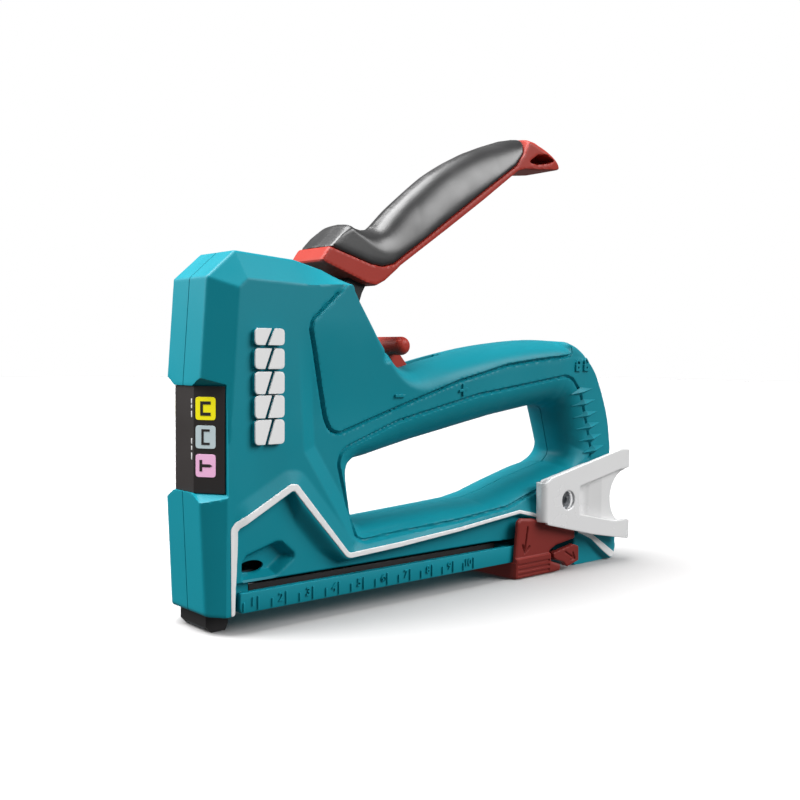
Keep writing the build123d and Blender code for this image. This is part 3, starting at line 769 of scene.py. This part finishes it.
# ---- label
LABEL_T = 0.45
LABEL_FLAT = (-5.2, 5.2)        # x, |y| of the neck's front edge
LABEL_BACK = (0.35, 13.15)      # x, |y| where the neck meets the side
FACET_LENGTH = 9.7              # from the neck's front edge to the side, along the facet
BADGES = {"yellow": 66.4, "grey": 58.1, "pink": 49.75}
BADGE_SHARES = (0.06, 0.71)     # front and back edge, as shares of the facet
BADGE_HALF_HEIGHT = 3.35
SYMBOL_SHARE = 0.385
DASH_Y = (-4.7, -4.1)
DASHES = ((69.2, 1.4), (67.4, 1.0), (65.6, 1.8), (57.6, 1.6), (55.4, 1.2), (53.4, 2.0))  # top, length


def facet_point(side, share, z, lift):
    """A point on the label's side facet: share 0 at the front edge, 1 at the back, lifted off its face."""
    dx, dy = LABEL_BACK[0] - LABEL_FLAT[0], LABEL_BACK[1] - LABEL_FLAT[1]
    length = math.hypot(dx, dy)
    x = LABEL_FLAT[0] + dx * share - dy / length * lift
    y = LABEL_FLAT[1] + dy * share + dx / length * lift
    return (x, side * y, z)


def facet_plate(name, side, points, sunk, lift, bevel):
    """A flat outline of (share, z) points standing on the label's side facet."""
    low_ring, high_ring = ([facet_point(side, u, z, level) for u, z in points] for level in (sunk, lift))
    return prism(name, low_ring, high_ring, bevel)


def staple_outline(centre, z, half_height, leg, wire):
    """A staple lying on its side: crown at the front, legs to the back."""
    z_low, z_high = z - half_height, z + half_height
    return [
        (centre - leg, z_low), (centre + leg, z_low), (centre + leg, z_low + wire[1]),
        (centre - leg + wire[0], z_low + wire[1]), (centre - leg + wire[0], z_high - wire[1]),
        (centre + leg, z_high - wire[1]), (centre + leg, z_high), (centre - leg, z_high),
    ]


def brad_outline(centre, z):
    """A headed brad lying on its side."""
    half = [(-0.20, -1.7), (-0.11, -1.7), (-0.11, -0.45), (0.14, -0.45)]
    shape = half + [(0.22, 0)] + [(u, -v) for u, v in half[::-1]]
    return [(centre + u, z + v) for u, v in shape]


def make_label():
    front_x, flat = LABEL_FLAT
    back_x, back = LABEL_BACK
    outside = [(front_x - LABEL_T, -flat - 0.2), (back_x - 0.35, -back - 0.35)]
    half = outside + [(back_x, -back), (front_x, -flat)]
    points = half + [(x, -y) for x, y in half[::-1]]
    film = plan_solid("label_film", points, NECK_Z[0] + 0.1, NECK_Z[1] - 0.1, 0.08)
    dress(film, "label", "housing", "label_film", "front_label")
    symbols = {
        "yellow": staple_outline(SYMBOL_SHARE, BADGES["yellow"], 2.1, 0.17, (0.09, 0.95)),
        "grey": staple_outline(SYMBOL_SHARE, BADGES["grey"], 2.3, 0.135, (0.076, 0.7)),
        "pink": brad_outline(SYMBOL_SHARE, BADGES["pink"]),
    }
    near, far = (share * FACET_LENGTH for share in BADGE_SHARES)
    for side, hand in SIDES:
        for colour, z in BADGES.items():
            z_low, z_high = z - BADGE_HALF_HEIGHT, z + BADGE_HALF_HEIGHT
            corners = rounded([(near, z_low), (far, z_low), (far, z_high), (near, z_high)], 1.0)
            outline = [(u / FACET_LENGTH, v) for u, v in corners]
            badge = facet_plate(hand + colour + "_badge", side, outline, 0.3, LABEL_T + 0.12, 0.04)
            dress(badge, colour, "housing", "label_film")
            print_name = hand + colour + "_symbol"
            symbol = facet_plate(print_name, side, symbols[colour], 0.4, LABEL_T + 0.20, 0.03)
            dress(symbol, "label", "housing", "label_film")
    dashes = []
    dash_x = (front_x - LABEL_T - 0.08, front_x)
    for row, (top, length) in enumerate(DASHES):
        dashes.append(solid(f"dash_{row}", dash_x, DASH_Y, (top - length, top), 0.02))
    dress(joined("size_dashes", dashes), "print", "housing", "label_film")


# ---- lever
LEVER_SPLIT = [
    (41.1, 116.8), (50.8, 114.2), (58.5, 112.1), (63.3, 111.6), (68.1, 112.8), (74.7, 117.3), (83.1, 122.9),
    (91.8, 128.9), (100.8, 135.0), (110.1, 141.3), (119.7, 147.7), (127.6, 152.9), (132.0, 158.1),
    (135.6, 164.7),
]
LEVER_BODY = LEVER_SPLIT + [
    (139.5, 164.6), (144.0, 163.5), (150.9, 161.2), (155.6, 159.6), (158.2, 158.2), (158.2, 156.6),
    (155.6, 155.3), (150.0, 154.0), (141.0, 152.9), (133.0, 152.2), (128.8, 151.0), (110.7, 138.4),
    (92.4, 126.2), (76.5, 115.8), (71.0, 112.2), (69.4, 110.8), (64.3, 106.9), (60.6, 105.1),
    (56.4, 105.5), (37.6, 111.8),
]
GRIP_BODY = [
    (41.1, 116.8), (48.7, 124.3), (50.9, 125.1), (54.0, 124.4), (59.5, 123.9), (62.6, 124.4), (65.8, 126.4),
    (72.1, 132.5), (80.5, 139.4), (89.1, 145.9), (98.0, 151.2), (107.3, 155.8), (116.8, 159.6),
    (126.6, 163.0), (134.8, 164.9),
] + LEVER_SPLIT[-2:0:-1]
GRIP_TOP_POINTS = 15
TIP_TOP_END = len(LEVER_SPLIT) + 6
TIP_HOLE = [(134.0, 155.0), (139.6, 158.6), (144.6, 159.2), (150.4, 157.6), (145.4, 155.9), (139.2, 154.7)]


def lever_core_height(x, z):
    body = distance(rounded(LEVER_BODY, 1.6), x, z)
    end = np.clip((158.9 - x) / 15.0, 0, 1)
    width = 8.9 * np.where(x > 143.0, ellipse(end), 1.0)
    top = distance(LEVER_BODY[len(LEVER_SPLIT) - 1:TIP_TOP_END], x, z, closed=False)
    crown = ellipse(top / np.interp(x, (133, 142), (2.5, 4.5)))
    return width * (0.93 + 0.07 * ellipse(-body / 0.5)) * np.where(x > 132.0, crown, 1.0)


def lever_grip_height(x, z):
    top = distance(curved(GRIP_BODY[:GRIP_TOP_POINTS]), x, z, closed=False)
    body = distance(rounded(GRIP_BODY, 1.6), x, z)
    reach = np.interp(x, (46, 50, 55, 64, 80, 118, 130, 136), (0.9, 2.4, 4.2, 8.5, 13.5, 14.0, 10.0, 6.0))
    width = 8.7 + 0.5 * fade(60, 84, x) * fade(138, 118, x)
    low_edge = 0.955 + 0.045 * ellipse(np.clip(-body, 0, None) / 3.0)
    return width * ellipse(top / reach) * low_edge


def relief_field(outline, height, edge):
    """A solid symmetric about the seam: inside the outline and thinner than its half width."""
    slope = height.steepness()

    def field(x, y, z):
        a = np.abs(y)
        return smooth_max(outline(x, z), (a - height(x, z)) / slope(x, z), edge)
    return field


def make_lever():
    area = ((34.0, 102.0), (162.0, 167.0))
    core_solid = relief_field(outline_raster(LEVER_BODY, 1.2, area), Raster(lever_core_height, *area), 0.8)
    grip_solid = relief_field(outline_raster(GRIP_BODY, 0.8, area), Raster(lever_grip_height, *area), 0.9)
    hole = outline_raster(TIP_HOLE, 2.0, area)

    def core_field(x, y, z):
        cut = smooth_max(core_solid(x, y, z), -hole(x, z), 0.6)
        under_grip = smooth_max(grip_solid(x, y, z) + 0.05, z - 164.0, 0.1)
        pivot_room = radius_from(LEVER_PIVOT, x, z) - 7.0
        return np.maximum(np.maximum(cut, -pivot_room), np.where(x < 130, -under_grip, -FAR))

    box_low, box_high = (34.6, -10.2, 103.6), (160.4, 10.2, 166.4)
    pitch = SMALL_PITCH * 1.35
    core = field_object("lever_frame", core_field, box_low, box_high, pitch)
    dress(core, "red", "lever", "red_plastic", "lever_core")
    grip = field_object("soft_grip", grip_solid, box_low, box_high, pitch)
    dress(grip, "grip", "lever", "soft_grip", "lever_grip")


# ---- belt hook
HOOK_OUTER = [
    (133.6, 19.4), (161.0, 12.8), (183.6, 8.6), (183.6, 16.6), (173.6, 16.8), (152.4, 21.6), (152.4, 32.4),
    (177.6, 37.2), (183.4, 37.6), (183.4, 45.0), (177.4, 45.2), (135.6, 36.8), (133.6, 35.4),
]
HOOK_SHEET = 0.6                # half thickness
HOOK_FRONT_Y, HOOK_BACK_Y = -20.2, -16.2
HOOK_FOLD_X = 134.0
HOOK_SCREW_ROOM = 3.7
HOOK_INNER = [
    (133.6, 22.6), (154.0, 16.4), (176.0, 11.0), (183.0, 10.0), (183.0, 43.6), (177.4, 43.8), (135.6, 35.6),
    (133.6, 33.4),
]


def make_hook():
    area = ((130.0, 6.0), (186.0, 48.0))

    def front_shape(x, z):
        sheet = distance(rounded(HOOK_OUTER, 1.0), x, z)
        return np.maximum(sheet, HOOK_SCREW_ROOM - radius_from(HOOK_SCREW, x, z))

    def back_shape(x, z):
        sheet = distance(rounded(HOOK_INNER, 1.0), x, z)
        notched = np.maximum(sheet, NOTCH_R + 0.2 - radius_from(NOTCH, x, z))
        return np.maximum(notched, SCREW_R - radius_from(HOOK_SCREW, x, z))

    outer = Raster(front_shape, *area, 0.2)
    inner = Raster(back_shape, *area, 0.2)
    middle_y = (HOOK_FRONT_Y + HOOK_BACK_Y) / 2
    fold_r = (HOOK_BACK_Y - HOOK_FRONT_Y) / 2

    def field(x, y, z):
        front = smooth_max(outer(x, z), np.abs(y - HOOK_FRONT_Y) - HOOK_SHEET, 0.25)
        flare = 0.22 * np.clip(x - 158.0, 0, None) * fade(0.0, 4.0, x - 158.0)
        back = smooth_max(inner(x, z), np.abs(y - HOOK_BACK_Y + np.minimum(flare, 2.2)) - HOOK_SHEET, 0.25)
        # the fold is a half ring seen from above
        ring = np.abs(np.hypot(x - HOOK_FOLD_X, y - middle_y) - fold_r) - HOOK_SHEET
        corner = distance(rounded([(128, 20.6), (136, 20.0), (136, 35.0), (128, 35.0)], 1.5), x, z)
        fold = smooth_max(np.maximum(ring, x - HOOK_FOLD_X - 0.2), corner, 0.25)
        return np.minimum(np.minimum(front, back), fold)

    hook = field_object("clip_sheet", field, (130.8, -21.2, 7.8), (184.6, -15.2, 46.2), SMALL_PITCH)
    dress(hook, "sheet", "housing", "hook_sheet", "belt_hook")


# ---- magazine
STRIP = dict(front=3.8, rear=122.6, outer=15.5, low=6.2, high=12.3)
LIP_X, LIP_Y = (10.4, 117.0), (8.2, 9.6)
TICK_STEP = 5.0
TICKS = range(1, 21)


def tick_marks(side):
    """Raised ruler ticks, one each five millimetres, and a number at each ten."""
    face = side * (STRIP["outer"] - 0.15)
    proud = side * (STRIP["outer"] + 0.5)
    y_low, y_high = sorted((face, proud))
    marks = []
    for i in TICKS:
        x = TICK_STEP * i
        top = 10.8 if i % 2 == 0 else 9.5
        marks.append(solid(f"tick_{i}", (x - 0.28, x + 0.28), (y_low, y_high), (6.9, top), 0.1))
    for number in range(1, len(TICKS) // 2 + 1):
        text = bpy.data.curves.new("number", "FONT")
        text.body = str(number)
        text.size = 3.5 * MM
        text.extrude = 0.4 * MM
        text.offset = 0.08 * MM
        text.align_x = "CENTER"
        digit = bpy.data.objects.new("number", text)
        bpy.context.scene.collection.objects.link(digit)
        turn = Matrix.Rotation(math.radians(90), 4, "X")
        if side > 0:
            turn = Matrix.Rotation(math.pi, 4, "Z") @ turn
        wide = 2.9 if number == 10 else 1.9
        place = (2 * TICK_STEP * number - wide, side * (STRIP["outer"] + 0.1), 8.25)
        digit.matrix_world = Matrix.Translation(Vector(place) * MM) @ turn
        marks.append(digit)
    bpy.context.view_layer.update()
    return marks


def make_magazine():
    front, rear, outer, low, high = STRIP.values()
    wall_outline = [(front + 0.6, low), (rear, low), (rear, high), (front + 0.2, high), (front, low + 1.6)]
    inside = (-outer + 1.0, outer - 1.0)
    pieces = []
    lips = []
    for side in (-1, 1):
        y_low, y_high = sorted((side * (outer - WALL), side * outer))
        pieces.append(plate("wall", wall_outline, y_low, y_high, 0.35))
        lip_y = sorted(side * y for y in LIP_Y)
        lips.append(solid("lip", LIP_X, lip_y, (low + 0.8, SLIT_Z - 1.3), 0.15))
    pieces.append(solid("floor_plate", (front + 0.8, rear), inside, (low, low + 1.2), 0.2))
    pieces.append(solid("end_wall", (rear - 4.0, rear), inside, (low, high), 0.2))
    pieces.append(solid("tongue", (rear - 1.0, 149.8), (-9.0, 9.0), (low, high), 0.4))
    dress(joined("magazine_channel", pieces), "teal", "magazine", "housing_plastic", "magazine_body")
    # the inner lips are black as painted shade: the black stands in for the dark inside of the magazine
    # channel
    dress(joined("magazine_lips_painted_shade", lips), "black", "magazine", "black_plastic", "magazine_body")
    for side, hand in SIDES:
        ruler = joined(hand + "ruler_marks", tick_marks(side))
        dress(ruler, "teal", "magazine", "housing_plastic", "magazine_body")


GRIP_PLATE = [
    (119.4, 0.4), (121.3, 21.2), (123.0, 22.4), (130.0, 21.6), (154.0, 14.6), (154.0, 11.6), (143.0, 10.2),
    (139.2, 8.6), (139.2, 4.6), (144.6, 2.8), (144.6, 0.4),
]
# an arrow is a shaft and a head
GRIP_ARROW = ([(126.6, 18.8), (125.0, 10.2)], [(127.6, 11.6), (125.0, 9.4), (123.9, 12.4)])
LATCH_PLATE = [
    (140.4, 7.6), (152.4, 9.6), (155.0, 8.6), (155.2, 3.0), (148.4, 1.4), (146.4, 3.4), (142.0, 5.0),
    (140.4, 6.0),
]
LATCH_ARROW = ([(147.2, 7.2), (152.4, 4.2)], [(150.2, 3.6), (152.8, 4.0), (151.8, 6.4)])
ARROW_HALF_WIDTH = 0.45
PLATE_INNER, PLATE_OUTER = 15.9, 18.3


def arrow_groove(arrow, x, z, depth):
    shaft, head = (distance(line, x, z, closed=False) for line in arrow)
    return groove(np.minimum(shaft, head), ARROW_HALF_WIDTH, depth)


def grip_plate_height(x, z):
    edge = distance(rounded(GRIP_PLATE, 1.0), x, z)
    height = PLATE_OUTER - 0.9 * fade(7.5, 8.0, z)
    for i in range(3):
        slot = np.abs(z - 1.7 - 1.8 * i)
        height -= groove(slot, 0.5, 1.0) * fade(120.6, 121.0, x) * fade(138.2, 137.8, x)
    return height - arrow_groove(GRIP_ARROW, x, z, 0.7) - 0.3 * fade(-1.0, 0.0, edge)


def latch_height(x, z):
    return PLATE_OUTER - arrow_groove(LATCH_ARROW, x, z, 0.5)


def side_plates_field(outline, height, bridges):
    """Two mirror-image plates outside the housing, tied by blocks below it."""
    def field(x, y, z):
        a = np.abs(y)
        made = smooth_max(outline(x, z), np.maximum(a - height(x, z), PLATE_INNER - a), 0.4)
        for x_range, width, z_range in bridges:
            made = np.minimum(made, box_field(x, a, z, x_range, width, z_range))
        return made
    return field


def make_side_plates(name, points, radius, height, bridges, box, node, body):
    area = ((116.0, -1.0), (158.0, 25.0))
    outline = outline_raster(points, radius, area, 0.2)
    field = side_plates_field(outline, Raster(height, *area, 0.2), bridges)
    # the release grip and latch take the darker copy of the red plastic, whose darkening is painted shade
    dress(field_object(name, field, *box, SMALL_PITCH), "painted_shade_red", body, "red_plastic", node)


def make_magazine_grip():
    bridges = (((119.8, 144.4), 17.8, (0.45, 2.8)), ((119.8, 138.8), 17.8, (2.6, 6.2)))
    box = ((118.6, -19.0, -0.4), (155.0, 19.0, 23.4))
    make_side_plates(
        "release_grip", GRIP_PLATE, 1.0, grip_plate_height, bridges, box, "magazine_grip", "magazine")
    bridges = (((148.6, 153.8), 17.6, (2.7, 5.7)),)
    box = ((139.6, -19.0, 0.8), (156.0, 19.0, 10.4))
    make_side_plates("latch_tab", LATCH_PLATE, 0.7, latch_height, bridges, box, "latch", "latch")


# ---- stage
CAMERA_PLACE = (-0.15040, -0.26420, 0.08214)
CAMERA_YAW, CAMERA_DOWN, CAMERA_ROLL = 40.9073, 2.5511, 0.3685   # degrees: from +Y to +X, down, tilt
LENS_MM = 44.98
LIGHT_TARGET = (0.08, 0.0, 0.06)
FILL_STRENGTH = 0.17
FLOOR_HALF_M = 3.0


def make_camera():
    data = bpy.data.cameras.new("camera")
    data.lens = LENS_MM
    data.sensor_width = 36.0
    data.clip_start = 0.01
    camera = bpy.data.objects.new("camera", data)
    aim = Matrix.Rotation(math.radians(-CAMERA_YAW), 4, "Z")
    aim @= Matrix.Rotation(math.radians(90.0 - CAMERA_DOWN), 4, "X")
    aim @= Matrix.Rotation(math.radians(CAMERA_ROLL), 4, "Z")
    camera.matrix_world = Matrix.Translation(CAMERA_PLACE) @ aim
    bpy.context.scene.collection.objects.link(camera)
    bpy.context.scene.camera = camera


def hang_lamp(name, data, direction, distance_m=0.0):
    """Puts a lamp that far from the middle of the tool, facing back along the direction."""
    lamp = bpy.data.objects.new(name, data)
    towards = Vector(direction).normalized()
    lamp.location = Vector(LIGHT_TARGET) + towards * distance_m
    lamp.rotation_mode = "QUATERNION"
    lamp.rotation_quaternion = towards.to_track_quat("Z", "Y")
    bpy.context.scene.collection.objects.link(lamp)


def area_light(name, direction, distance_m, size, power):
    """A soft square light."""
    data = bpy.data.lights.new(name, "AREA")
    data.shape = "SQUARE"
    data.size = size
    data.energy = power
    hang_lamp(name, data, direction, distance_m)


def sun_light(name, direction, strength, spread_deg, gloss):
    """A soft light from one direction that reaches the whole floor evenly."""
    data = bpy.data.lights.new(name, "SUN")
    data.energy = strength
    data.angle = math.radians(spread_deg)
    data.specular_factor = gloss
    hang_lamp(name, data, direction)


def make_lights():
    """Lights, with a dim white world that only the camera sees as full white."""
    area_light("front_light", (-0.70, 0.45, 0.55), 0.52, 0.35, 2.5)
    sun_light("top_sun", (-0.22, 0.20, 1.0), 5.4, 46.0, 1.0)
    sun_light("side_sun", (0.50, -0.65, 0.52), 2.6, 40.0, 0.35)
    world = bpy.data.worlds.new("studio")
    world.use_nodes = True
    nodes, links = world.node_tree.nodes, world.node_tree.links
    dim = nodes["Background"]
    dim.inputs["Color"].default_value = (1, 1, 1, 1)
    dim.inputs["Strength"].default_value = FILL_STRENGTH
    bright = nodes.new("ShaderNodeBackground")
    bright.inputs["Strength"].default_value = 1.0
    bright.inputs["Color"].default_value = (1, 1, 1, 1)
    mix = nodes.new("ShaderNodeMixShader")
    path = nodes.new("ShaderNodeLightPath")
    links.new(path.outputs["Is Camera Ray"], mix.inputs["Fac"])
    links.new(dim.outputs["Background"], mix.inputs[1])
    links.new(bright.outputs["Background"], mix.inputs[2])
    links.new(mix.outputs["Shader"], nodes["World Output"].inputs["Surface"])
    bpy.context.scene.world = world
    bpy.context.scene.view_settings.view_transform = "Standard"


def make_floor():
    mesh = bmesh.new()
    signs = ((-1, -1), (1, -1), (1, 1), (-1, 1))
    mesh.faces.new([mesh.verts.new((x * FLOOR_HALF_M, y * FLOOR_HALF_M, 0.0)) for x, y in signs])
    floor = finish_mesh("floor", mesh, 0)
    material = moulded("pale_floor", "c0bfbf", "bebdbd", 0.7, grain=0.02, specular=0.05)
    floor.data.materials.append(material)
    floor.visible_diffuse = False
    floor.visible_glossy = False


CAD_LOOKS = {
    "teal": ("left_housing_shell", "right_housing_shell", "magazine_body"),
    "white": ("left_emblem", "right_emblem", "left_stripe", "right_stripe"),
    "red": ("lever_core", "force_adjuster"),
    # darker copy of the red plastic: painted shade
    "painted_shade_red": ("magazine_grip", "latch"),
    "steel": ("striker_guide", "striker", "driver_blade", "spring_seat", "lever_pin", "magazine_pins",
              "magazine_rail", "pusher"),
    "spring": ("main_spring", "lever_spring", "pusher_spring", "latch_spring"),
    "screw": ("housing_screws", "hook_screw"),
    "black": ("nose_foot",), "rubber": ("bumper",), "black_steel": ("lever_arm",),
    "staple": ("staple_stick",), "label": ("front_label",), "sheet": ("belt_hook",), "grip": ("lever_grip",),
}


def dress_cad_nodes():
    for look, nodes in CAD_LOOKS.items():
        for node in nodes:
            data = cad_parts[node].data
            data.materials.clear()
            data.materials.append(MATERIALS[look])


make_camera()
make_lights()
make_floor()
dress_cad_nodes()
make_shells()
make_stripes()
make_emblems()
make_side_marks()
make_spikes()
make_label()
make_lever()
make_hook()
make_magazine()
make_magazine_grip()
